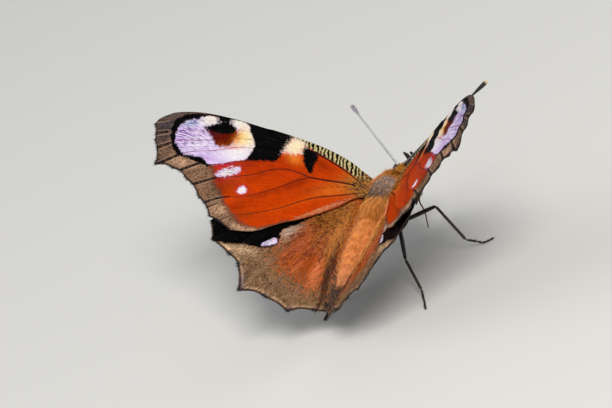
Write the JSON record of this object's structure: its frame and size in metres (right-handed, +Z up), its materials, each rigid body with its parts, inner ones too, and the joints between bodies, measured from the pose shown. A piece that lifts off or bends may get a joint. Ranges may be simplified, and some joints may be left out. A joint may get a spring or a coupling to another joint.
{
  "type": "peacock butterfly",
  "caption": "Standing butterfly with its wings half open, eyespots on each wing, feelers spread and mouthpart lowered.",
  "frame": {"origin": "middle of the bottom of the whole insect's box, on the floor between the feet", "axes": "+X to the butterfly's right, +Y towards its head, +Z up"},
  "size_m": [0.053, 0.0354, 0.0257],
  "materials": {
    "forewing": "matte brick-red scales with dark and cream markings",
    "hindwing": "matte rust and grey-brown scales",
    "fur": "golden-brown hair",
    "skin": "dark, finely scaled skin",
    "leg": "dark, finely scaled legs",
    "eye": "dark brown faceted eye"
  },
  "bodies": {
    "root": {"abdomen": "fur", "antenna_left": "skin", "antenna_right": "skin", "eye_left": "eye", "eye_right": "eye", "foreleg_left": "fur", "foreleg_right": "fur", "forewing_left": "forewing", "forewing_right": "forewing", "head": "fur", "hindleg_left_femur": "leg", "hindleg_left_tarsus": "leg", "hindleg_left_tibia": "leg", "hindleg_right_femur": "leg", "hindleg_right_tarsus": "leg", "hindleg_right_tibia": "leg", "hindwing_left": "hindwing", "hindwing_right": "hindwing", "midleg_left_femur": "leg", "midleg_left_tarsus": "leg", "midleg_left_tibia": "leg", "midleg_right_femur": "leg", "midleg_right_tarsus": "leg", "midleg_right_tibia": "leg", "palp_left": "skin", "palp_right": "skin", "proboscis_lower": "skin", "proboscis_upper": "skin", "thorax": "fur"}
  },
  "joints": []
}
